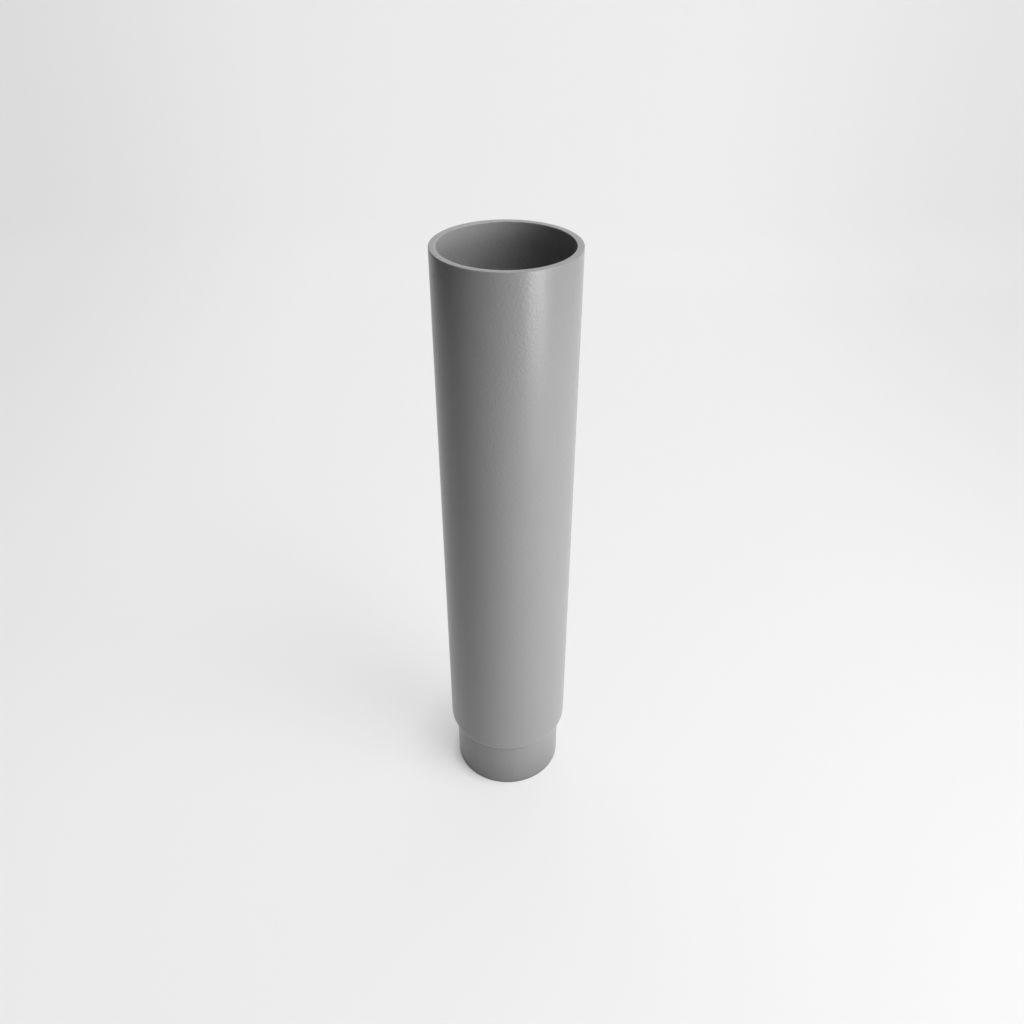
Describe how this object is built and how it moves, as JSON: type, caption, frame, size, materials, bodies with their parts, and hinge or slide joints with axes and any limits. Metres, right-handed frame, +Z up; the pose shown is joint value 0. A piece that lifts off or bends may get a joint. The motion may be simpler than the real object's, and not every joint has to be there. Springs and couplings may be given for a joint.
{
  "type": "downpipe",
  "caption": "Round aluminium rainwater downpipe with a plain socket end above and a swaged spigot below that slips flush into the next length.",
  "frame": {"origin": "centre of the spigot's foot, on the pipe's axis", "axes": "+Z up along the pipe's axis, from the spigot to the socket's rim; the pipe is the same all round, so +X and +Y are free"},
  "size_m": [0.063, 0.063, 0.3],
  "materials": {
    "powder_coat": "satin"
  },
  "bodies": {
    "root": {"downpipe": "powder_coat"}
  },
  "joints": []
}
